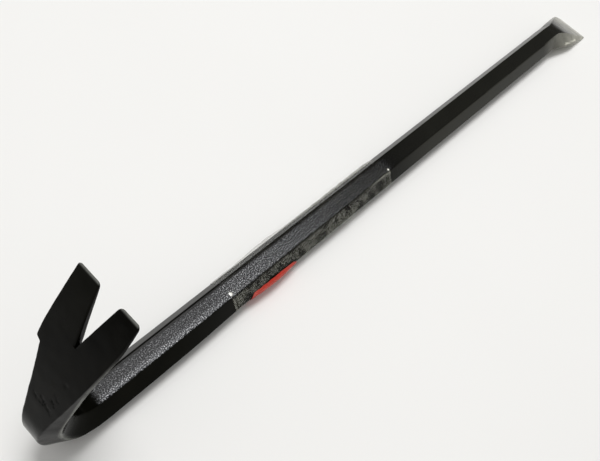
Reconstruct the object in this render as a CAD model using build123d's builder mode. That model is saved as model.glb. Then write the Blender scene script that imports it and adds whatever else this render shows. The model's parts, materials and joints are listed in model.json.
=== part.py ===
"""Gooseneck pry bar, 18 inch: one forging in hexagonal steel, with its film label and the red strip under it.

Frame: +X runs along the shank towards the chisel, +Z is up, and the origin is at the centre of the
bounding box's base. The bar rests on the bottom flat of its shank, with the hook standing up.
"""

import os
from math import cos, radians, sin

from build123d import *

os.makedirs("parts", exist_ok=True)

# ---- driving dimensions, millimetres and degrees ----
overall_length = 457.0  # 18 inches, from the back of the heel to the chisel edge
across_flats = 16.0  # the hexagonal steel
corner_radius = 1.2  # rolled corners of the hexagon

heel_radius = 30.0  # outside of the gooseneck bend
round_neck_angle = 84.0  # the steel keeps its full section up to here
bend_angle = 117.0  # turned between the shank and the root of the claw
claw_radius = 350.0  # the claw itself curves on, very gently
claw_length = 65.5  # from the end of the bend to the tips

shoulder_height = 30.0  # trimming shoulder on the +Y side, measured up the claw from its root
plate_slope = 0.7  # how far the side facets of the flat claw stand out from its faces
plate_radius = 0.4

# neck, where the hexagon is drawn out flat: angle round the heel, distance up the claw,
# reach to +Y, reach to -Y, thickness, side slope, corner radius
neck_sections = (
    (100.5, 0.0, 9.3, 9.3, 14.0, 4.4, 1.2),
    (bend_angle, 0.0, 9.6, 9.6, 11.5, 3.6, 1.1),
    (bend_angle, shoulder_height / 2, 10.6, 10.8, 7.8, 1.8, 0.8),
    (bend_angle, shoulder_height, 13.2, 12.2, 4.6, plate_slope, plate_radius),
)
# claw, which starts where the neck ends: distance up the claw, then as above
claw_sections = (
    (shoulder_height, 13.2, 12.2, 4.6, plate_slope, plate_radius),
    (shoulder_height + 1.5, 15.5, 12.4, 4.5, plate_slope, plate_radius),
    (shoulder_height + 9.0, 16.0, 13.4, 3.3, plate_slope, plate_radius),
    (claw_length - 13.0, 16.0, 15.0, 2.2, plate_slope, plate_radius),
    (claw_length, 15.7, 14.5, 0.9, 0.3, 0.2),
)

slot_depth = 25.5
slot_mouth = 10.2
slot_root_radius = 0.6

chisel_length = 45.5  # over which the end flares out, with one bevel on its top side
# chisel: distance from the edge, reach to +Y, reach to -Y, thickness, side slope to +Y and to -Y, corner radius
chisel_sections = (
    (36.0, 9.3, 12.2, across_flats, 4.68, 7.58, corner_radius),
    (23.5, 10.4, 15.4, 10.8, 3.3, 7.0, 0.8),
    (0.0, 12.1, 15.6, 1.0, 0.3, 0.3, 0.2),
)
chisel_corner_radius = 7.0  # the +Y corner of the edge, seen from above

film_start = 101.0  # from the back of the heel to the film's near end
film_length = 120.5
film_gap = 0.15  # between the steel and the film
film_thickness = 0.20
film_hem = 1.2  # height of the film's two long edges above the bottom flat

label_start = 111.0  # from the back of the heel
label_length = 32.0
label_gap = 0.02
label_thickness = 0.10
label_top = 10.6  # height reached on the facet above the side corner
label_bottom = 1.8
label_near_taper = 2.5  # the end by the heel slopes over this length
label_far_taper = 8.0

# ---- derived sizes ----
half_height = across_flats / 2
heel_x = -overall_length / 2
edge_x = overall_length / 2
bend_x = heel_x + heel_radius  # the shank is straight from here on
chisel_x = edge_x - chisel_length


def skin_plane(angle, distance=0.0):
    """Section plane on the outer skin, angle degrees round the heel and distance up the claw.

    Its X is the bar's +Y, and its Y points into the steel, away from the skin.
    """
    heel_turn = radians(angle)
    turn = heel_turn + distance / claw_radius
    x = bend_x - heel_radius * sin(heel_turn) + claw_radius * (sin(heel_turn) - sin(turn))
    z = heel_radius * (1 - cos(heel_turn)) + claw_radius * (cos(heel_turn) - cos(turn))
    return Plane(origin=(x, 0, z), x_dir=(0, 1, 0), z_dir=(cos(turn), 0, -sin(turn)))


def hexagon(growth=0.0):
    """The rolled hexagon, flat side down on the sketch's X axis, grown outwards by growth."""
    with BuildSketch(mode=Mode.PRIVATE) as section:
        with Locations((0, half_height)):
            RegularPolygon(half_height + growth, 6, major_radius=False)
        fillet(section.vertices(), corner_radius + growth)
    return section.sketch_local


def six_sided(left, right, thickness, left_slope, right_slope, radius):
    """Drawn-out hexagon on the near side of the sketch's X axis.

    left and right are its reach towards +X and -X, and the slopes are how far each side corner
    stands out from the flats.
    """
    with BuildSketch(mode=Mode.PRIVATE) as section:
        with BuildLine():
            Polyline(
                (left - left_slope, 0),
                (left, thickness / 2),
                (left - left_slope, thickness),
                (right_slope - right, thickness),
                (-right, thickness / 2),
                (right_slope - right, 0),
                close=True,
            )
        make_face()
        fillet(section.vertices(), radius)
    return section.sketch_local


# ---- forged bar: gooseneck, claw, shank and chisel in one piece of steel ----
with BuildPart() as forged_bar:
    # straight hexagonal shank
    with BuildSketch(Plane.YZ.offset(bend_x)):
        add(hexagon())
    extrude(amount=chisel_x - bend_x)

    # full section round the heel
    with BuildSketch(Plane.YZ.offset(bend_x)):
        add(hexagon())
    revolve(axis=Axis((bend_x, 0, heel_radius), (0, 1, 0)), revolution_arc=round_neck_angle)

    # neck: the hexagon is drawn out flat and wide
    with BuildSketch(skin_plane(round_neck_angle)):
        add(hexagon())
    for angle, distance, left, right, thickness, slope, radius in neck_sections:
        with BuildSketch(skin_plane(angle, distance)):
            add(six_sided(left, right, thickness, slope, slope, radius))
    loft()

    # claw: the trimming shoulder on one side, then a thinning plate out to the tips
    for distance, left, right, thickness, slope, radius in claw_sections:
        with BuildSketch(skin_plane(bend_angle, distance)):
            add(six_sided(left, right, thickness, slope, slope, radius))
    loft(ruled=True)

    # nail slot, cut square through the blade
    tips = skin_plane(bend_angle, claw_length)
    mouth_slope = slot_mouth / 2 / slot_depth
    past_tips = 5.0
    with BuildSketch(Plane(origin=tips.origin, x_dir=tips.x_dir, z_dir=tips.y_dir)) as slot:
        with BuildLine():
            Polyline(
                (0, -slot_depth),
                (slot_mouth / 2 + mouth_slope * past_tips, past_tips),
                (-slot_mouth / 2 - mouth_slope * past_tips, past_tips),
                close=True,
            )
        make_face()
        fillet(slot.vertices().sort_by(Axis.Y)[0], slot_root_radius)
    extrude(amount=across_flats, both=True, mode=Mode.SUBTRACT)

    # chisel: flares more to the -Y side, with one bevel on top down to the edge
    with BuildSketch(Plane.YZ.offset(chisel_x)):
        add(hexagon())
    for distance, left, right, thickness, left_slope, right_slope, radius in chisel_sections:
        with BuildSketch(Plane.YZ.offset(edge_x - distance)):
            add(six_sided(left, right, thickness, left_slope, right_slope, radius))
    loft(ruled=True)

    # the +Y corner of the edge is rounded off
    edge_reach = chisel_sections[-1][1]
    with BuildSketch(Plane.XY):
        with Locations((edge_x - chisel_corner_radius, edge_reach - chisel_corner_radius)):
            Rectangle(across_flats, across_flats, align=Align.MIN)
            Circle(chisel_corner_radius, mode=Mode.SUBTRACT)
    extrude(amount=across_flats, mode=Mode.SUBTRACT)

forged_bar.part.label = "forged_bar"
export_step(forged_bar.part, "parts/forged_bar.step")

# ---- film wrap: clear film over five facets, its long edges stopping short of the bottom flat ----
film_x = heel_x + film_start
with BuildPart() as film_wrap:
    with BuildSketch(Plane.YZ.offset(film_x)):
        add(hexagon(film_gap + film_thickness))
        add(hexagon(film_gap), mode=Mode.SUBTRACT)
        with Locations((0, film_hem)):
            Rectangle(overall_length, across_flats, align=(Align.CENTER, Align.MAX), mode=Mode.SUBTRACT)
    extrude(amount=film_length)

film_wrap.part.label = "film_wrap"
export_step(film_wrap.part, "parts/film_wrap.step")

# ---- red label: printed strip under the film, folded over the side corner on the -Y side ----
label_x = heel_x + label_start
label_end_x = label_x + label_length
with BuildPart() as red_label:
    with BuildSketch(Plane.YZ.offset(label_x)):
        add(hexagon(label_gap + label_thickness))
        add(hexagon(label_gap), mode=Mode.SUBTRACT)
    extrude(amount=label_length)
    with BuildSketch(Plane.XZ):
        with BuildLine():
            Polyline(
                (label_x, label_bottom),
                (label_end_x, label_bottom),
                (label_end_x, half_height),
                (label_end_x - label_far_taper, label_top),
                (label_x + label_near_taper, label_top),
                (label_x, half_height),
                close=True,
            )
        make_face()
    extrude(amount=across_flats, mode=Mode.INTERSECT)

red_label.part.label = "red_label"
export_step(red_label.part, "parts/red_label.step")
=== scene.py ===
"""Looks of the gooseneck pry bar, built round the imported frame.

Lengths are metres in the part's own frame: +X runs along the shank to the chisel, +Z is up, and the bar
lies on z = 0. A station is a distance along the bar's outer skin, from where the heel starts: it is
negative on the shank, and grows round the heel and up the claw.
"""

import json
from math import radians, sqrt

import bmesh
import bpy
import numpy as np
from mathutils import Matrix, Vector, noise


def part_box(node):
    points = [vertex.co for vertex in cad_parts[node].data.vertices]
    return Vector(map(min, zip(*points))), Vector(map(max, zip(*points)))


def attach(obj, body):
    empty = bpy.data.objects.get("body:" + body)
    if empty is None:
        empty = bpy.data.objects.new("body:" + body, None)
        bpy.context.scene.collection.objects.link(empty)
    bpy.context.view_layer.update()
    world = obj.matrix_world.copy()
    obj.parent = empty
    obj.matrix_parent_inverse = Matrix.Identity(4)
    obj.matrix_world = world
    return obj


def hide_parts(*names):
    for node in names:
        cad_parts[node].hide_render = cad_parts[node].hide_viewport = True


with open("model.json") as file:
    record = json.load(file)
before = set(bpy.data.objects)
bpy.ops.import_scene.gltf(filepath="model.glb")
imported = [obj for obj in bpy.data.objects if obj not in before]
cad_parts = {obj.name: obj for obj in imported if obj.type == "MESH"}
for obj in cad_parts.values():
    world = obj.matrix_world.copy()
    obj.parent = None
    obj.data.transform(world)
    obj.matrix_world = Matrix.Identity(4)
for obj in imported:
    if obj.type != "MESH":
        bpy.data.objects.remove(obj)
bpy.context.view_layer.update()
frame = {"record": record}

mm = 0.001

# ---- the bar's places and sizes, from the frame where it holds them ----
mounts = {mount["name"]: mount["pos_m"] for mount in frame["record"]["mounts"]}
bend_x, _, heel_radius = mounts["hanging_bend"]
half_height = mounts["shank_grip"][2]
half_corner = half_height * 2 / sqrt(3)
half_flat = half_corner / 2
corner_radius = 1.2 * mm
bend_angle = radians(117)
claw_radius = 350 * mm
claw_length = 65.5 * mm
slot_depth = 25.5 * mm
slot_half_mouth = 5.1 * mm
bevel_length = 36 * mm
chisel_length = 45.5 * mm
edge_thickness = 1.0 * mm

heel_end = heel_radius * bend_angle
shoulder = heel_end + 30 * mm
tip = heel_end + claw_length
slot_root = tip - slot_depth
edge = bend_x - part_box("forged_bar")[1].x
bevel = edge + bevel_length
flare = edge + chisel_length

# ---- what the forging has beyond its plain sections ----
shoulder_step = 2.2 * mm  # the trimming shoulder, on the +Y side
swelling = 0.9 * mm  # of the -Y side, at the bend
bevel_ease = 9 * mm  # the bevel starts and settles over this distance, either side
chisel_corners = (7.0 * mm, 0.5 * mm)  # radii in plan, to +Y and to -Y
claw_corners = (1.2 * mm, 1.8 * mm)
slot_root_half = 0.35 * mm
slot_lip = 0.3 * mm  # eased edges of the slot
slot_mouth_corner = 1.6 * mm
edge_ease = 0.25 * mm  # the ends are drawn in by this much, so that none is knife sharp
tip_ease = 0.35 * mm

# ---- film and strip ----
film_thickness = 0.06 * mm
deepest_sag = 1.4 * mm
strip_offsets = (0.15 * mm, 0.04 * mm)  # its outside and its inside, off the steel

# ---- mesh density ----
FLAT_QUADS = 16  # across half of the skin or half of the inside
FACET_QUADS = 8
ROUND_QUADS = 4
WALL_QUADS = 8  # through the thickness, on each wall of the nail slot


# ------------------------------------------------------------------ helpers


def skin(station):
    """Place (x, z) on the outer skin and the bar's turn there, for an array of stations."""
    turn = np.where(
        station < heel_end,
        np.clip(station, 0, None) / heel_radius,
        bend_angle + (station - heel_end) / claw_radius,
    )
    heel_turn = np.minimum(turn, bend_angle)
    x = bend_x - np.minimum(station, 0) - heel_radius * np.sin(heel_turn)
    x = x + claw_radius * (np.sin(heel_turn) - np.sin(turn))
    z = heel_radius * (1 - np.cos(heel_turn)) + claw_radius * (np.cos(heel_turn) - np.cos(turn))
    return x, z, turn


def in_frame(station, across, inward):
    """Points in the frame from stations, the distance across the bar and the depth below the skin."""
    x, z, turn = skin(station)
    return np.stack([x + inward * np.sin(turn), across, z + inward * np.cos(turn)], axis=-1)


def smooth_step(value, start, end):
    share = np.clip((value - start) / (end - start), 0, 1)
    return share * share * (3 - 2 * share)


def eased_ramp(value, ease):
    """0 below -ease and the value itself above ease, with a smooth bend between."""
    bend = np.clip(value + ease, 0, 2 * ease) ** 2 / (4 * ease)
    return np.where(value > ease, value, bend)


def plateau(value, start, full, fading, end):
    """0 before start, 1 between full and fading, and 0 again after end."""
    return smooth_step(value, start, full) * (1 - smooth_step(value, fading, end))


def hump(value, middle, half_width):
    """1 at the middle, falling smoothly to 0 at half_width either side."""
    return 1 - smooth_step(np.abs(value - middle), 0, half_width)


def spread(start, end, step):
    """Evenly spaced values from start up to, but not including, end."""
    return np.linspace(start, end, max(2, round((end - start) / step)), endpoint=False)


def noise_at(points, scale, seed):
    """Smooth noise from -1 to 1, with features of about that scale in metres."""
    shift = Vector((seed, 2 * seed, 3 * seed))
    return np.array([noise.noise(Vector(p) / scale + shift) for p in points])


def between(first, last, count):
    """count points from first up to, but not including, last, for every ring."""
    share = (np.arange(count) / count)[None, :, None]
    return first[:, None, :] * (1 - share) + last[:, None, :] * share


# ------------------------------------------------------------------ forging


def profile(stations):
    """Reach to +Y and to -Y, thickness, side slope to +Y and to -Y, and corner radius at each station.

    Each key is a station, then the same in mm. At the chisel the thickness is that of the full bar, and
    the bevel comes off it.
    """
    corner, flat, full = half_corner / mm, half_flat / mm, 2 * half_height / mm
    hexagon = (corner, corner, full, flat, flat, corner_radius / mm)
    plate = (0.7, 0.7, 0.4)  # slopes and radius of the flat claw
    keys = (
        (edge, 12.1, 15.6, full, 0.3, 0.3, 0.2),
        (edge + 23.5 * mm, 10.4, 15.4, full, 3.3, 7.0, 0.8),
        (bevel, 9.3, 12.2, full, 4.68, 7.58, 1.2),
        (flare, *hexagon),
        (heel_radius * radians(84), *hexagon),
        (heel_radius * radians(100.5), 9.2, 9.3, 14.0, 4.4, 4.4, 1.2),
        (heel_end, 9.4, 9.6, 11.5, 3.6, 3.6, 1.1),
        (heel_end + 15 * mm, 10.5, 10.8, 7.8, 1.8, 1.8, 0.8),
        (shoulder - 8 * mm, 11.6, 11.4, 6.1, 1.2, 1.2, 0.6),
        (shoulder, 13.3, 12.2, 4.6, *plate),
        (shoulder + 9 * mm, 13.9, 13.4, 3.3, *plate),
        (tip - 13 * mm, 13.9, 15.0, 2.2, *plate),
        (tip, 13.6, 14.5, 0.9, 0.3, 0.3, 0.2),
    )
    key_stations = [key[0] for key in keys]
    step = 0.25 * mm
    fine = np.arange(edge, tip + 0.4 * step, step)
    window = 21  # half width of the smoothing, in steps
    weights = np.exp(-0.5 * (3 * np.arange(-window, window + 1) / window) ** 2)
    weights /= weights.sum()
    columns = []
    for column in range(1, 7):
        values = np.interp(fine, key_stations, [key[column] for key in keys])
        padded = np.pad(values, window, mode="reflect", reflect_type="odd")
        values = np.convolve(padded, weights, mode="valid")
        columns.append(np.interp(stations, fine, values) * mm)
    left, right, thickness, left_slope, right_slope, radius = columns
    left = left + shoulder_step * smooth_step(stations, shoulder - 0.2 * mm, shoulder + 1.4 * mm)
    swollen = swelling * plateau(stations, -85 * mm, -35 * mm, 18 * mm, 50 * mm)
    right = right + swollen
    right_slope = right_slope + swollen
    bevel_slope = (2 * half_height - edge_thickness) / bevel_length
    thickness = thickness - bevel_slope * eased_ramp(bevel - stations, bevel_ease)
    from_edge = stations - edge
    from_tip = tip - stations
    left = left - corner_cut(from_edge, chisel_corners[0]) - corner_cut(from_tip, claw_corners[0])
    right = right - corner_cut(from_edge, chisel_corners[1]) - corner_cut(from_tip, claw_corners[1])
    return left, right, thickness, left_slope, right_slope, radius


def corner_cut(distance, radius):
    """How far a corner rounded in plan stands back from its sharp outline, at a distance from the end."""
    inside = np.clip(radius - distance, 0, radius)
    return radius - np.sqrt(radius**2 - inside**2)


def half_ring(reach, thickness, slope, radius, start):
    """Points (across, inward) from the skin's middle round one side to the inside's middle, per ring."""
    zero = np.zeros_like(reach)
    corners = [
        np.stack(pair, axis=-1)
        for pair in (
            (start, zero),
            (reach - slope, zero),
            (reach, thickness / 2),
            (reach - slope, thickness),
            (start, thickness),
        )
    ]
    quads = (FLAT_QUADS, FACET_QUADS, FACET_QUADS, FLAT_QUADS)
    here, points = corners[0], []
    for index in (1, 2, 3):
        corner = corners[index]
        before, after = corner - corners[index - 1], corners[index + 1] - corner
        long_before = np.linalg.norm(before, axis=1)
        long_after = np.linalg.norm(after, axis=1)
        cosine = np.sum(before * after, axis=1) / long_before / long_after
        cut = radius * np.sqrt((1 - cosine) / (1 + cosine))
        cut = np.minimum(cut, 0.45 * np.minimum(long_before, long_after))
        entry = corner - before * (cut / long_before)[:, None]
        leaving = corner + after * (cut / long_after)[:, None]
        points.append(between(here, entry, quads[index - 1]))
        share = (np.arange(ROUND_QUADS) / ROUND_QUADS)[None, :, None]
        points.append(
            entry[:, None] * (1 - share) ** 2
            + 2 * corner[:, None] * share * (1 - share)
            + leaving[:, None] * share**2
        )
        here = leaving
    points.append(between(here, corners[4], quads[3]))
    points.append(corners[4][:, None, :])
    return np.concatenate(points, axis=1)


def slot_wall(start, rounding, thickness):
    """Points (across, inward) down a slot wall, from the inside to the skin, with eased edges, per ring."""
    straight = np.linspace(0, 1, WALL_QUADS - 3)
    rows = [(start + rounding, thickness), (start + 0.3 * rounding, thickness - 0.3 * rounding)]
    rows += [(start, (thickness - rounding) * (1 - s) + rounding * s) for s in straight]
    rows += [(start + 0.3 * rounding, 0.3 * rounding), (start + rounding, 0 * thickness)]
    return np.stack([np.stack(row, axis=-1) for row in rows], axis=1)


def eased_ends(points, stations, thickness):
    """Draws the two sides of the slotted claw in towards their own middles at the tips."""
    ease = corner_cut(tip - stations, tip_ease)
    middle = points.mean(axis=1, keepdims=True)
    middle[:, 0, 1] = thickness / 2
    span = np.abs(points - middle).max(axis=1, keepdims=True)
    keep = 1 - np.minimum(ease[:, None, None] / span, 0.6)
    return middle + (points - middle) * keep


def eased_whole(points, stations, thickness):
    """As eased_ends, but at the chisel, and towards the middle plane, so that the two halves still meet."""
    ease = corner_cut(stations - edge, edge_ease)[:, None]
    half = thickness[:, None] / 2
    reach = points[..., 0].max(axis=1, keepdims=True)
    across = points[..., 0] * (1 - np.minimum(ease / reach, 0.6))
    inward = half + (points[..., 1] - half) * (1 - np.minimum(ease / half, 0.6))
    return np.stack([across, inward], axis=-1)


def ring_stations():
    """Where the sections stand: closer together at the ends, the shoulder and the slot's root."""
    ends = np.array([0, 0.04, 0.1, 0.18, 0.28]) * mm
    return np.concatenate([
        edge + ends,
        spread(edge + 0.4 * mm, flare, 0.8 * mm),
        spread(flare, -8 * mm, 1.6 * mm),
        spread(-8 * mm, heel_end, 0.6 * mm),
        spread(heel_end, shoulder - 0.4 * mm, 0.7 * mm),
        spread(shoulder - 0.4 * mm, shoulder + 1.6 * mm, 0.2 * mm),
        spread(shoulder + 1.6 * mm, slot_root, 0.7 * mm),
        spread(slot_root, slot_root + 1.5 * mm, 0.15 * mm),
        spread(slot_root + 1.5 * mm, tip - 2 * mm, 0.7 * mm),
        spread(tip - 2 * mm, tip - 0.4 * mm, 0.25 * mm),
        tip - ends[::-1],
    ])


class Shell:
    """Grids of points gathered into one mesh, with a station and a corner mark kept on each point."""

    def __init__(self):
        self.points, self.stations, self.corners, self.faces = [], [], [], []
        self.count = 0

    def add_grid(self, points, stations, corners, flip):
        rows, columns = points.shape[:2]
        index = self.count + np.arange(rows * columns).reshape(rows, columns)
        quads = np.stack([index[:-1, :-1], index[:-1, 1:], index[1:, 1:], index[1:, :-1]], axis=-1)
        quads = quads.reshape(-1, 4)
        self.faces.append(quads[:, ::-1] if flip else quads)
        self.points.append(points.reshape(-1, 3))
        self.stations.append(np.repeat(stations, columns))
        self.corners.append(np.broadcast_to(corners, (rows, columns)).ravel())
        self.count += rows * columns

    def to_mesh(self, name, merge=0.004 * mm):
        """One closed mesh: seams merged, open ends filled and faces turned outwards."""
        mesh = bpy.data.meshes.new(name)
        mesh.from_pydata(np.concatenate(self.points), [], np.concatenate(self.faces).tolist())
        for label, values in (("station", self.stations), ("corner", self.corners)):
            mesh.attributes.new(label, "FLOAT", "POINT").data.foreach_set("value", np.concatenate(values))
        shape = bmesh.new()
        shape.from_mesh(mesh)
        bmesh.ops.remove_doubles(shape, verts=shape.verts, dist=merge)
        bmesh.ops.holes_fill(shape, edges=[e for e in shape.edges if e.is_boundary], sides=0)
        bmesh.ops.recalc_face_normals(shape, faces=shape.faces)
        shape.to_mesh(mesh)
        shape.free()
        return mesh


def values_of(mesh, label):
    values = np.zeros(len(mesh.vertices), np.float32)
    mesh.attributes[label].data.foreach_get("value", values)
    return values


def set_values(mesh, label, values):
    mesh.attributes.new(label, "FLOAT", "POINT").data.foreach_set("value", values.astype(np.float32))


def places_of(mesh):
    flat = np.zeros(len(mesh.vertices) * 3, np.float32)
    mesh.vertices.foreach_get("co", flat)
    return flat.reshape(-1, 3).astype(float)


def normals_of(mesh):
    flat = np.zeros(len(mesh.vertices) * 3, np.float32)
    mesh.vertex_normals.foreach_get("vector", flat)
    return flat.reshape(-1, 3).astype(float)


def forging_mesh():
    """The whole forging: two mirrored strips of half rings, the slot's two walls, and its filled ends."""
    stations = ring_stations()
    left, right, thickness, left_slope, right_slope, radius = profile(stations)
    past_root = np.clip(stations - slot_root, 0, None)
    straight = past_root * slot_half_mouth / slot_depth
    slot_half = np.sqrt(straight**2 + slot_root_half**2 * np.minimum(1, past_root / mm))
    slot_half = slot_half + corner_cut(tip - stations, slot_mouth_corner) * (past_root > 0)
    rounding = np.minimum(slot_lip, 0.5 * past_root)
    corners = np.zeros(2 * FLAT_QUADS + 2 * FACET_QUADS + 3 * ROUND_QUADS + 1)
    first = FLAT_QUADS
    for _ in range(3):
        corners[first : first + ROUND_QUADS + 1] = (0.2, 0.8, 1.0, 0.8, 0.2)
        first += ROUND_QUADS + FACET_QUADS
    shell = Shell()
    slotted = stations >= slot_root - 1e-9
    for side, reach, slope in ((1, left, left_slope), (-1, right, right_slope)):
        ring = half_ring(reach, thickness, slope, radius, slot_half + rounding)
        wall = slot_wall(slot_half, rounding, thickness)[slotted]
        both = np.concatenate([ring[slotted], wall], axis=1)
        eased = eased_ends(both, stations[slotted], thickness[slotted])
        ring[slotted] = eased[:, : ring.shape[1]]
        wall = eased[:, ring.shape[1] :]
        plain = ~slotted
        ring[plain] = eased_whole(ring[plain], stations[plain], thickness[plain])
        for grid, where, marks in ((ring, np.ones_like(slotted), corners), (wall, slotted, 0.5)):
            places = in_frame(stations[where][:, None], side * grid[..., 0], grid[..., 1])
            shell.add_grid(places, stations[where], marks, flip=side > 0)
    return shell.to_mesh("forging")


def inwardness(normals, stations):
    """-1 where a surface faces out of the bend, as the skin does, and 1 where it faces into it."""
    turn = skin(stations)[2]
    return normals[:, 0] * np.sin(turn) + normals[:, 2] * np.cos(turn)


def hammer(mesh):
    """Forging marks: slow waves, hammered edges, and the scars and the pit left on the heel."""
    places, normals = places_of(mesh), normals_of(mesh)
    stations, corners = values_of(mesh, "station"), values_of(mesh, "corner")
    forged = smooth_step(stations, -6 * mm, 14 * mm) + smooth_step(-stations, -flare, -bevel) * 0.6
    # slow waves everywhere, more where the steel was drawn out, with hammer marks there and nicked corners
    lift = (0.02 * mm + 0.10 * mm * forged) * noise_at(places, 13 * mm, 1)
    lift += 0.045 * mm * forged * noise_at(places, 4 * mm, 2)
    lift += 0.07 * mm * forged * corners * noise_at(places, 2.4 * mm, 3)
    across = places[:, 1]
    skin_side = inwardness(normals, stations) < -0.7
    ragged = 0.6 * mm * noise_at(places, 2.2 * mm, 4) + 0.5 * mm * noise_at(places, 0.8 * mm, 5)
    scarred = np.zeros(len(places))
    fissures = (  # station and place across at both ends, half width and depth, in mm
        (71.6, 4.6, 70.9, -0.6, 0.35, 0.13),
        (73.2, 1.2, 70.4, -5.0, 0.38, 0.15),
        (75.8, -3.2, 74.6, -4.9, 0.30, 0.11),
        (79.4, -3.6, 78.2, -5.0, 0.30, 0.10),
    )
    for start, first, end, last, half_width, depth in fissures:
        share = np.clip((first * mm - across) / ((first - last) * mm), 0, 1)
        line = (start + (end - start) * share) * mm
        beyond = np.abs(across - (first - (first - last) * share) * mm)
        off = np.hypot(stations - line + ragged, beyond)
        cut = 1 - smooth_step(off, 0.2 * half_width * mm, 1.5 * half_width * mm)
        lift -= skin_side * depth * mm * cut
        scarred = np.maximum(scarred, skin_side * (1 - smooth_step(off, 0.3 * mm, 1.6 * mm)))
    pit = in_frame(np.array(86.6 * mm), np.array(-4.7 * mm), np.array(0.0))
    lift -= 0.22 * mm * (1 - smooth_step(np.linalg.norm(places - pit, axis=1), 0, 1.3 * mm))
    lift *= smooth_step(places[:, 2], 0.0, 1.0 * mm)
    set_values(mesh, "scarred", scarred)
    mesh.vertices.foreach_set("co", (places + normals * lift[:, None]).astype(np.float32).ravel())
    mesh.update()


def mark_finish(mesh):
    """Keeps on each point what the enamel reads: how worn, bared, nicked, greyed, matt and pebbly it is, and
    its painted light: glints on the top flat, bounce light under the chisel.
    """
    places, normals = places_of(mesh), normals_of(mesh)
    stations = values_of(mesh, "station").astype(float)
    facing_in = inwardness(normals, stations)
    set_values(mesh, "worn", worn_share(places, normals, stations, facing_in))
    set_values(mesh, "bare", bare_and_bounce_lit_share(normals, stations - edge))
    set_values(mesh, "nicked", nicked_share(places))
    set_values(mesh, "dusty", greyed_share(places, normals, stations, facing_in))
    set_values(mesh, "matt", matt_share(normals, stations, facing_in))
    set_values(mesh, "pebbled", pebbled_and_glinting_share(places, normals, stations))
    set_values(mesh, "pebble_tone", pebble_tone(places))


def worn_share(places, normals, stations, facing_in):
    """Enamel rubbed through: a line along the heel's -Y corner, the far side of the bend, and the tips."""
    heel_line = smooth_step(stations, 22 * mm, 40 * mm)
    heel_line *= 1 - 0.45 * smooth_step(stations, 84 * mm, 90 * mm)
    heel_line *= 1 - smooth_step(stations, 104 * mm, 112 * mm)
    past_corner = -places[:, 1] - profile(stations)[1]
    rim = smooth_step(past_corner, -0.55 * mm, -0.25 * mm)
    bend_side = 0.30 * hump(stations, 25 * mm, 19 * mm) * (normals[:, 1] > -0.3) * (facing_in < 0.3)
    tips = 0.7 * smooth_step(stations, tip - 0.9 * mm, tip - 0.15 * mm)
    return np.maximum(np.maximum(rim * heel_line, bend_side), tips)


def bare_and_bounce_lit_share(normals, from_edge):
    """Enamel thinned over the chisel: to the edge on top, and further back on the -Y side, with painted
    bounce light on facets facing down.
    """
    top = 0.50 * (1 - smooth_step(from_edge, 4 * mm, 32 * mm))
    top = top + 0.35 * (1 - smooth_step(from_edge, 0, 7 * mm))
    near_side = np.interp(
        from_edge / mm,
        (0, 6, 12, 20, 30, 40, 50, 60),
        (1.0, 1.0, 0.88, 0.64, 0.50, 0.34, 0.16, 0.0),
    )
    # facets facing down are lightened more than those facing up: painted bounce light where little light
    # reaches the underside
    near_side = near_side * np.where(normals[:, 2] > 0, 0.80, 1.35)
    return np.where(normals[:, 1] < -0.2, near_side, top)


def nicked_share(places):
    """A bright scrape across the chisel's -Y side."""
    start = np.array((212.5, -13.4, 5.2)) * mm
    way = np.array((-0.979, 0.078, 0.190))
    length = 17 * mm
    from_start = places - start
    run = from_start @ way
    off = np.linalg.norm(from_start - run[:, None] * way, axis=1)
    return (run > 0) * (run < length) * (1 - smooth_step(off, 0.3 * mm, 0.9 * mm))


def greyed_share(places, normals, stations, facing_in):
    """Greyer enamel: the shank towards the chisel, most on its -Y facets, the heel's scuffed outside, a
    tine, and the -Y side by the bend.
    """
    near_facets = normals[:, 1] < -0.5
    towards_chisel = smooth_step(places[:, 0], -20 * mm, 40 * mm) * np.where(near_facets, 1.0, 0.30)
    far_tine = 0.16 * smooth_step(stations, shoulder, tip) * smooth_step(places[:, 1], -2 * mm, 6 * mm)
    scuffed = (0.8 * hump(stations, 31 * mm, 23 * mm) + far_tine) * (facing_in < -0.7)
    dulled = 0.15 * near_facets * (stations < 45 * mm)
    return np.maximum(np.maximum(towards_chisel, scuffed), dulled)


def matt_share(normals, stations, facing_in):
    """Where the enamel hardly shines: the -Y side by the bend, the bend's inside, and the bevel's start."""
    by_the_bend = plateau(stations, -90 * mm, -20 * mm, 40 * mm, 55 * mm)
    near_side = by_the_bend * smooth_step(-normals[:, 1], 0.3, 0.7)
    bend_inside = smooth_step(stations, 0, 10 * mm) * (facing_in > 0.6)
    bevel_start = hump(stations - edge, 34 * mm, 12 * mm) * (normals[:, 0] > 0.1) * (normals[:, 2] > 0.7)
    return np.maximum(near_side, np.maximum(bend_inside, bevel_start))


def pebbled_and_glinting_share(places, normals, stations):
    """Rough enamel with painted glints on the top flat, from the bend to the film's end, bald along the +Y
    edge.
    """
    film_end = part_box("film_wrap")[1].x
    upwards = smooth_step(normals[:, 2], 0.7, 0.95) * (stations < 20 * mm)
    starting = 1 - smooth_step(stations, -1 * mm, 9 * mm)
    fading = 1 - 0.92 * smooth_step(places[:, 0], film_end - 1 * mm, film_end + 5 * mm)
    bald_edge = smooth_step(places[:, 1], 2.3 * mm, 3.6 * mm)
    return upwards * starting * fading * (1 - bald_edge)


def pebble_tone(places):
    """Brightness of the painted glints, the lamp's glare on the pebbles: less towards the chisel, more along
    the -Y edge.
    """
    x = places[:, 0]
    along = np.interp(
        x / mm,
        (-195, -158, -141, -114, -91, -67, -44, -20, -8),
        (0.85, 0.91, 0.80, 0.95, 0.79, 0.54, 0.30, 0.19, 0.16),
    )
    near_edge = smooth_step(-places[:, 1], 1.2 * mm, 3.4 * mm)
    edge_share = 1 - 0.85 * smooth_step(x, -148 * mm, -118 * mm)
    return (1.29 + edge_share * 1.38 * (near_edge - 0.5)) * along


# ------------------------------------------------------------------ materials


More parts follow.
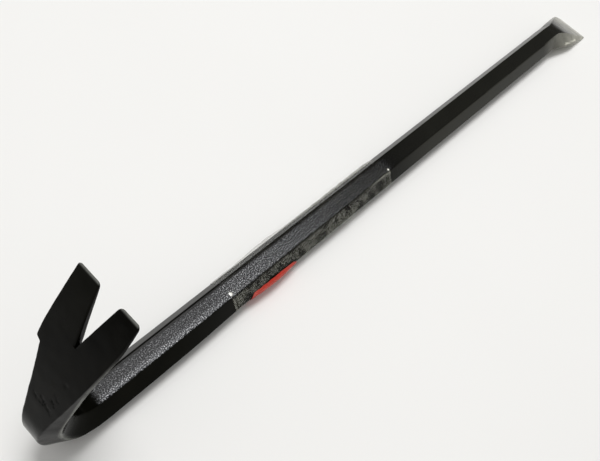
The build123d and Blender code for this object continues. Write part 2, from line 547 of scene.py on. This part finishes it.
class Nodes:
    """A material's node tree, with short calls to add and link nodes."""

    def __init__(self, name):
        self.material = bpy.data.materials.new(name)
        self.material.use_nodes = True
        self.tree = self.material.node_tree
        self.tree.nodes.clear()

    def add(self, kind, inputs=None, **settings):
        node = self.tree.nodes.new("ShaderNode" + kind)
        for key, value in settings.items():
            setattr(node, key, value)
        for key, value in (inputs or {}).items():
            socket = node.inputs[key]
            if isinstance(value, bpy.types.NodeSocket):
                self.tree.links.new(value, socket)
            else:
                socket.default_value = value
        return node

    def attribute(self, label):
        return self.add("Attribute", attribute_name=label).outputs["Fac"]

    def noise(self, scale, detail, roughness):
        place = self.add("TexCoord").outputs["Object"]
        inputs = {"Vector": place, "Scale": scale, "Detail": detail, "Roughness": roughness}
        return self.add("TexNoise", inputs).outputs["Fac"]

    def ramp(self, value, stops):
        node = self.add("ValToRGB", {"Fac": value})
        elements = node.color_ramp.elements
        while len(elements) < len(stops):
            elements.new(0.5)
        for element, (position, colour) in zip(elements, stops):
            element.position = position
            element.color = (*colour, 1)
        return node.outputs["Color"]

    def math(self, operation, first, second, clamp=False):
        node = self.add("Math", {0: first, 1: second}, operation=operation, use_clamp=clamp)
        return node.outputs[0]

    def mix(self, share, first, second):
        node = self.add("Mix", data_type="RGBA")
        for key, value in ((0, share), (6, first), (7, second)):
            if isinstance(value, bpy.types.NodeSocket):
                self.tree.links.new(value, node.inputs[key])
            else:
                node.inputs[key].default_value = value if key == 0 else (*value, 1)
        return node.outputs[2]

    def scaled(self, colour, factor):
        node = self.add("VectorMath", {0: colour, 3: factor}, operation="SCALE")
        return node.outputs[0]

    def stretch(self, value, low, high, to_low=0.0, to_high=1.0):
        inputs = {0: value, 1: low, 2: high, 3: to_low, 4: to_high}
        return self.add("MapRange", inputs).outputs[0]

    def bump(self, height, strength, distance):
        return self.add("Bump", {"Height": height, "Strength": strength, "Distance": distance}).outputs[0]

    def patchy(self, label, patches):
        """One of the mesh's point values, broken up by a pattern."""
        return self.math("MULTIPLY", self.attribute(label), patches, clamp=True)

    def finish(self, shader):
        self.add("OutputMaterial", {"Surface": shader})
        return self.material


def enamel():
    """Black enamel over forged steel: pebbly on top with painted glints, worn on the corners, thinned over
    the chisel, with painted bounce light under it.
    """
    n = Nodes("black_enamel")
    grain = n.noise(1750.0, 2.0, 0.6)
    blotch = n.noise(90.0, 3.0, 0.6)
    streaks = n.noise(260.0, 4.0, 0.7)
    pebbled = n.attribute("pebbled")

    black = n.mix(n.stretch(blotch, 0.35, 0.7), (0.0014, 0.0014, 0.0009), (0.0032, 0.0031, 0.0020))
    black = n.mix(n.attribute("dusty"), black, (0.026, 0.026, 0.0205))
    # painted glints: the lamp's glare on the top flat's pebbles, painted into the colour as bright speckles
    painted_glints = n.ramp(grain, [
        (0.38, (0.004, 0.004, 0.005)),
        (0.50, (0.035, 0.036, 0.039)),
        (0.57, (0.121, 0.124, 0.132)),
        (0.65, (0.410, 0.416, 0.430)),
    ])
    painted_glints = n.scaled(painted_glints, n.attribute("pebble_tone"))
    scars = n.patchy("scarred", n.stretch(n.noise(800.0, 3.0, 0.7), 0.46, 0.60))
    base = n.mix(scars, n.mix(pebbled, black, painted_glints), (0.0, 0.0, 0.0))

    rubbed = n.patchy("worn", n.stretch(streaks, 0.25, 0.5, 0.35))
    base = n.mix(rubbed, base, (0.17, 0.175, 0.16))
    # steel showing through thinned enamel, and painted bounce light on the chisel's underside
    thinned_and_bounce_lit = n.patchy("bare", n.stretch(n.noise(140.0, 3.0, 0.6), 0.25, 0.65, 0.55, 1.0))
    base = n.mix(thinned_and_bounce_lit, base, (0.60, 0.595, 0.525))
    scraped = n.patchy("nicked", n.stretch(streaks, 0.3, 0.55, 0.45, 0.95))
    base = n.mix(scraped, base, (0.74, 0.74, 0.64))

    dull = n.math("MAXIMUM", n.attribute("matt"), scars)
    pebbles = n.math("MULTIPLY", grain, n.stretch(pebbled, 0.0, 1.0, 0.5, 3.0))
    height = n.math("ADD", pebbles, n.noise(420.0, 3.0, 0.6))
    principled = n.add("BsdfPrincipled", {
        "Base Color": base,
        "Roughness": n.stretch(blotch, 0.3, 0.7, 0.15, 0.23),
        "Specular IOR Level": n.stretch(dull, 0.0, 1.0, 0.065, 0.015),
        "Normal": n.bump(height, 0.12, 0.00020),
    })
    return n.finish(principled.outputs[0])


def red_print():
    """Plain red print, a little faded in patches."""
    n = Nodes("red_print")
    faded = n.noise(700.0, 3.0, 0.6)
    base = n.mix(n.stretch(faded, 0.35, 0.7), (0.56, 0.035, 0.018), (0.40, 0.028, 0.015))
    principled = n.add("BsdfPrincipled", {
        "Base Color": base,
        "Roughness": n.stretch(faded, 0.3, 0.7, 0.35, 0.5),
        "Normal": n.bump(faded, 0.2, 0.0001),
    })
    return n.finish(principled.outputs[0])


def clear_film():
    """Dull clear film: mostly see-through, hazy in its creases, with painted reflection, painted sheen and
    two painted glints.
    """
    n = Nodes("clear_film")
    creases = n.noise(900.0, 4.0, 0.7)
    smears = n.noise(150.0, 3.0, 0.6)
    pulled, glint = n.attribute("pulled"), n.attribute("glint")

    # haze of the dull film, strongest on the -Y side as a painted reflection of the table
    haze_and_reflection_cover = n.stretch(n.math("MULTIPLY", creases, smears), 0.19, 0.34, 0.0, 0.13)
    haze_and_reflection_cover = n.math("MULTIPLY", haze_and_reflection_cover, n.attribute("mottle"))
    # painted reflection: a pale cover at grazing angles, strongest on the film pulled off the far side
    facing = n.add("LayerWeight", {"Blend": 0.25}).outputs["Facing"]
    outline = n.math("MULTIPLY", facing, n.stretch(pulled, 0.0, 1.0, 0.015, 0.24))
    # painted sheen: pale lines on the cut ends and the fold, and a pale band on the lifted far side, where
    # light catches the film
    sheen_share = n.math("MULTIPLY", n.attribute("milky"), n.stretch(creases, 0.3, 0.6))
    cover = n.math("ADD", n.math("ADD", haze_and_reflection_cover, outline), sheen_share, clamp=True)

    colour = n.mix(creases, (0.55, 0.56, 0.46), (0.80, 0.80, 0.71))
    colour = n.mix(pulled, colour, (0.46, 0.46, 0.43))
    principled = n.add("BsdfPrincipled", {
        "Base Color": n.mix(glint, colour, (0.97, 0.97, 0.95)),
        "Roughness": n.stretch(creases, 0.3, 0.7, 0.10, 0.28),
        "Specular IOR Level": 0.5,
        "Normal": n.bump(n.noise(500.0, 3.0, 0.6), 0.35, 0.0003),
    })
    clear = n.add("BsdfTransparent")
    share = n.math("MAXIMUM", cover, glint)
    mixed = n.add("MixShader", {0: share, 1: clear.outputs[0], 2: principled.outputs[0]})
    return n.finish(mixed.outputs[0])


def pale_table():
    n = Nodes("pale_table")
    shade = n.mix(n.noise(6.0, 2.0, 0.5), (0.835, 0.835, 0.825), (0.865, 0.865, 0.855))
    principled = n.add("BsdfPrincipled", {
        "Base Color": shade,
        "Roughness": 0.7,
        "Specular IOR Level": 0.2,
    })
    return n.finish(principled.outputs[0])


# ------------------------------------------------------------------ pieces


def add_piece(mesh, name, material, node):
    """Links a finished mesh as a piece that stands for a CAD node."""
    mesh.shade_smooth()
    mesh.set_sharp_from_angle(angle=radians(38))
    piece = bpy.data.objects.new(name, mesh)
    bpy.context.scene.collection.objects.link(piece)
    mesh.materials.append(material)
    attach(piece, "root")
    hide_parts(node)


def add_forging():
    mesh = forging_mesh()
    hammer(mesh)
    mark_finish(mesh)
    add_piece(mesh, "forging", enamel(), "forged_bar")


def hexagon_outline(hem):
    """Places (y, z) and outward normals round the shank, from the -Y hem over the top to the +Y hem."""
    sizes = [np.array([value]) for value in (half_corner, 2 * half_height, half_flat, corner_radius, 0.0)]
    half = half_ring(*sizes)[0]
    half = half[half[:, 1] >= hem]
    outline = np.concatenate([half * (-1, 1), half[-2::-1]])
    along = np.gradient(outline, axis=0)
    along /= np.linalg.norm(along, axis=1, keepdims=True)
    normals = np.stack([-along[:, 1], along[:, 0]], axis=-1)
    return outline, normals


def sheet_grid(outline, normals, x, offset):
    """Points of a sheet that stands off the shank by offset, an array over x and the outline."""
    places = outline[None] + normals[None] * offset[..., None]
    spread_x = np.broadcast_to(x[:, None], offset.shape)
    return np.concatenate([spread_x[..., None], places], axis=-1)


def thin_shell(name, grid, inner):
    """A closed thin sheet between two grids of points of the same shape."""
    shell = Shell()
    rows = np.zeros(len(grid))
    shell.add_grid(grid, rows, 0.0, flip=False)
    shell.add_grid(inner, rows, 0.0, flip=True)
    for outer_edge, inner_edge in (
        (grid[0], inner[0]), (grid[-1], inner[-1]), (grid[:, 0], inner[:, 0]), (grid[:, -1], inner[:, -1]),
    ):
        rim = np.stack([outer_edge, inner_edge])
        shell.add_grid(rim, np.zeros(2), 0.0, flip=False)
    return shell.to_mesh(name, merge=0.001 * mm)


def add_film():
    """Clear film: wrinkled, lifted along the far side, lipped on the near one and sagging over the strip."""
    low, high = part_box("film_wrap")
    outline, normals = hexagon_outline(low.z)
    x = np.linspace(low.x, high.x, 190)
    flat = sheet_grid(outline, normals, x, np.zeros((len(x), len(outline))))
    points = flat.reshape(-1, 3)
    wrinkle = np.abs(noise_at(points * (0.45, 1, 1), 3.2 * mm, 11)) ** 1.3
    fine = np.abs(noise_at(points, 1.3 * mm, 12))
    wrinkle = (wrinkle * 0.55 + fine * 0.12).reshape(flat.shape[:2]) * mm
    from_start = (x - low.x)[:, None]
    lift = mm * np.interp(
        from_start / mm,
        (0, 6, 16, 27, 39, 50, 62, 75, 88, 101, 115, 121),
        (0.0, 0.2, 0.1, 0.8, 1.0, 0.3, 0.1, 0.0, 0.2, 0.4, 0.1, 0.0),
    )
    lip = 0.9 * mm * hump(from_start, 92 * mm, 40 * mm)
    far = smooth_step(outline[:, 0], 4.5 * mm, 9.0 * mm)[None]
    near = smooth_step(-outline[:, 0], 6.5 * mm, 9.0 * mm)[None]
    offset = 0.22 * mm + wrinkle + lift * far + lip * near + sag(x - low.x, outline)
    grid = sheet_grid(outline, normals, x, offset)
    inner = sheet_grid(outline, normals, x, offset - film_thickness)
    mesh = thin_shell("film", grid, inner)
    mark_film(mesh, low.x, high.x)
    add_piece(mesh, "film", clear_film(), "film_wrap")


def mark_film(mesh, start, end):
    """Keeps on each point what the film reads: how pulled off it is, its painted sheen, its haze with
    painted reflection, and its glints.
    """
    places = places_of(mesh)
    y, z = places[:, 1], places[:, 2]
    from_near, from_far = places[:, 0] - start, end - places[:, 0]
    set_values(mesh, "pulled", smooth_step(y, 7.0 * mm, 9.0 * mm))

    side_on = smooth_step(-y, 5.0 * mm, 6.0 * mm)
    # painted sheen: pale lines where the film's cut ends and its fold catch the light, and a pale band along
    # the lifted far side
    near_end = 0.24 * side_on * (1 - smooth_step(from_near, 0.5 * mm, 1.1 * mm))
    far_end = 0.13 * side_on * (1 - smooth_step(from_far, 0.5 * mm, 1.1 * mm))
    off_fold = np.hypot(y + 5.0 * mm, z - 15.6 * mm)
    fold = 0.22 * (1 - smooth_step(off_fold, 0.2 * mm, 0.6 * mm)) * smooth_step(from_near, 96 * mm, 112 * mm)
    far_milk = np.interp(from_near / mm, (0, 45, 60, 75, 121), (0.05, 0.05, 0.25, 0.45, 0.50))
    far_side = far_milk * smooth_step(y, 6.5 * mm, 8.5 * mm)
    set_values(mesh, "milky", near_end + far_end + fold + far_side)

    label_start, label_end = (side.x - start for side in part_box("red_label"))
    over_label = plateau(from_near, label_start - 1 * mm, label_start, label_end, label_end + 1 * mm)
    over_label *= z < 11 * mm
    # the haze is strongest on the -Y side, where it also stands for the film's reflection of the table:
    # painted reflection
    top_share = 0.05 + 0.07 * smooth_step(from_near, 40 * mm, 80 * mm)
    mottle = (top_share + (1 - top_share) * side_on) * (1 - 0.75 * over_label)
    set_values(mesh, "mottle", mottle * (1 - 0.40 * smooth_step(from_near, 82 * mm, 105 * mm)))

    glints = np.zeros(len(places))
    for along, across, size in ((0.4, -3.0, 1.3), (119.9, -3.9, 0.8)):
        off_glint = np.hypot(from_near - along * mm, y - across * mm)
        glints = np.maximum(glints, 1 - smooth_step(off_glint, 0.5 * size * mm, size * mm))
    set_values(mesh, "glint", glints * (z > 14 * mm))


def sag(from_start, outline):
    """How far the film and the strip hang off the side corner on the -Y side, over x and the outline."""
    side = (outline[:, 0] < 0) * hump(outline[:, 1], half_height, 3.5 * mm)
    return deepest_sag * hump(from_start, 26 * mm, 26 * mm)[:, None] * side[None]


def add_label():
    """The red strip under the film: it slopes up at its near end, thins out and ends bluntly."""
    low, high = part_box("red_label")
    outline, normals = hexagon_outline(low.z)
    keep = (outline[:, 0] < 0) & (outline[:, 1] <= high.z)
    outline, normals = outline[keep], normals[keep]
    share = np.linspace(0, 1, len(outline))
    x = np.linspace(low.x, high.x, 60)
    rise = np.interp((x - low.x) / mm, (0, 2.5, 20, 30, 32), (0, 0.8, 0.8, 0.55, 0.1))
    top = half_height + rise * (high.z - half_height)
    ragged = noise_at(np.stack([x, 0 * x, 0 * x], axis=-1), 2.5 * mm, 21) * 0.25 * mm
    heights = low.z + share[None] * (top + ragged - low.z)[:, None]
    across = np.interp(heights, outline[:, 1], outline[:, 0])
    push = np.stack([np.interp(heights, outline[:, 1], normals[:, k]) for k in (0, 1)], axis=-1)
    base = np.stack([across, heights], axis=-1)
    spread_x = np.broadcast_to(x[:, None], heights.shape)[..., None]
    film_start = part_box("film_wrap")[0].x
    levels = np.stack([across[0], heights.mean(axis=0)], axis=-1)
    hang = sag(x - film_start, levels)[..., None]
    grid, inner = (np.concatenate([spread_x, base + push * (hang + off)], axis=-1) for off in strip_offsets)
    mesh = thin_shell("red_strip", grid, inner)
    add_piece(mesh, "red_strip", red_print(), "red_label")


# ------------------------------------------------------------------ studio


def add_table():
    mesh = bpy.data.meshes.new("table")
    half = 4.0
    corners = [(-half, -half, 0), (half, -half, 0), (half, half, 0), (-half, half, 0)]
    mesh.from_pydata(corners, [], [(0, 1, 2, 3)])
    mesh.materials.append(pale_table())
    table = bpy.data.objects.new("table", mesh)
    table.location.z = -0.05 * mm  # clear of the bottom flat
    bpy.context.scene.collection.objects.link(table)


def add_area_light(name, place, target, size, power, colour):
    light = bpy.data.lights.new(name, "AREA")
    light.shape = "DISK"
    light.size = size
    light.energy = power
    light.color = colour
    lamp = bpy.data.objects.new(name, light)
    lamp.location = place
    lamp.rotation_mode = "QUATERNION"
    lamp.rotation_quaternion = (Vector(target) - Vector(place)).to_track_quat("-Z", "Y")
    bpy.context.scene.collection.objects.link(lamp)


def add_lighting():
    world = bpy.data.worlds.new("studio")
    world.use_nodes = True
    background = world.node_tree.nodes["Background"]
    background.inputs["Color"].default_value = (1.0, 0.975, 0.935, 1)
    background.inputs["Strength"].default_value = 0.24
    bpy.context.scene.world = world
    add_area_light("key", (0.36, 0.34, 2.36), (-0.02, 0, 0), 1.0, 34.2, (1.0, 0.998, 0.992))
    add_area_light("overhead", (0.0, 0.12, 1.3), (0, 0, 0), 2.4, 8.6, (1.0, 0.998, 0.995))
    bpy.context.scene.view_settings.view_transform = "Standard"


def add_camera():
    """Looks down the bar from above the hook, rolled so that the bar runs from low left to high right."""
    data = bpy.data.cameras.new("camera")
    data.sensor_fit = "HORIZONTAL"
    data.sensor_width = 36.0
    data.lens = 39.186
    camera = bpy.data.objects.new("camera", data)
    right = Vector((0.6785, -0.7011, 0.2192)).normalized()
    up = Vector((0.5385, 0.6777, 0.5006))
    up = (up - right * up.dot(right)).normalized()
    back = right.cross(up)
    rotation = Matrix((right, up, back)).transposed()
    place = (-0.24104, -0.07309, 0.29328)
    camera.matrix_world = Matrix.Translation(place) @ rotation.to_4x4()
    bpy.context.scene.collection.objects.link(camera)
    bpy.context.scene.camera = camera


add_camera()
add_forging()
add_film()
add_label()
add_table()
add_lighting()
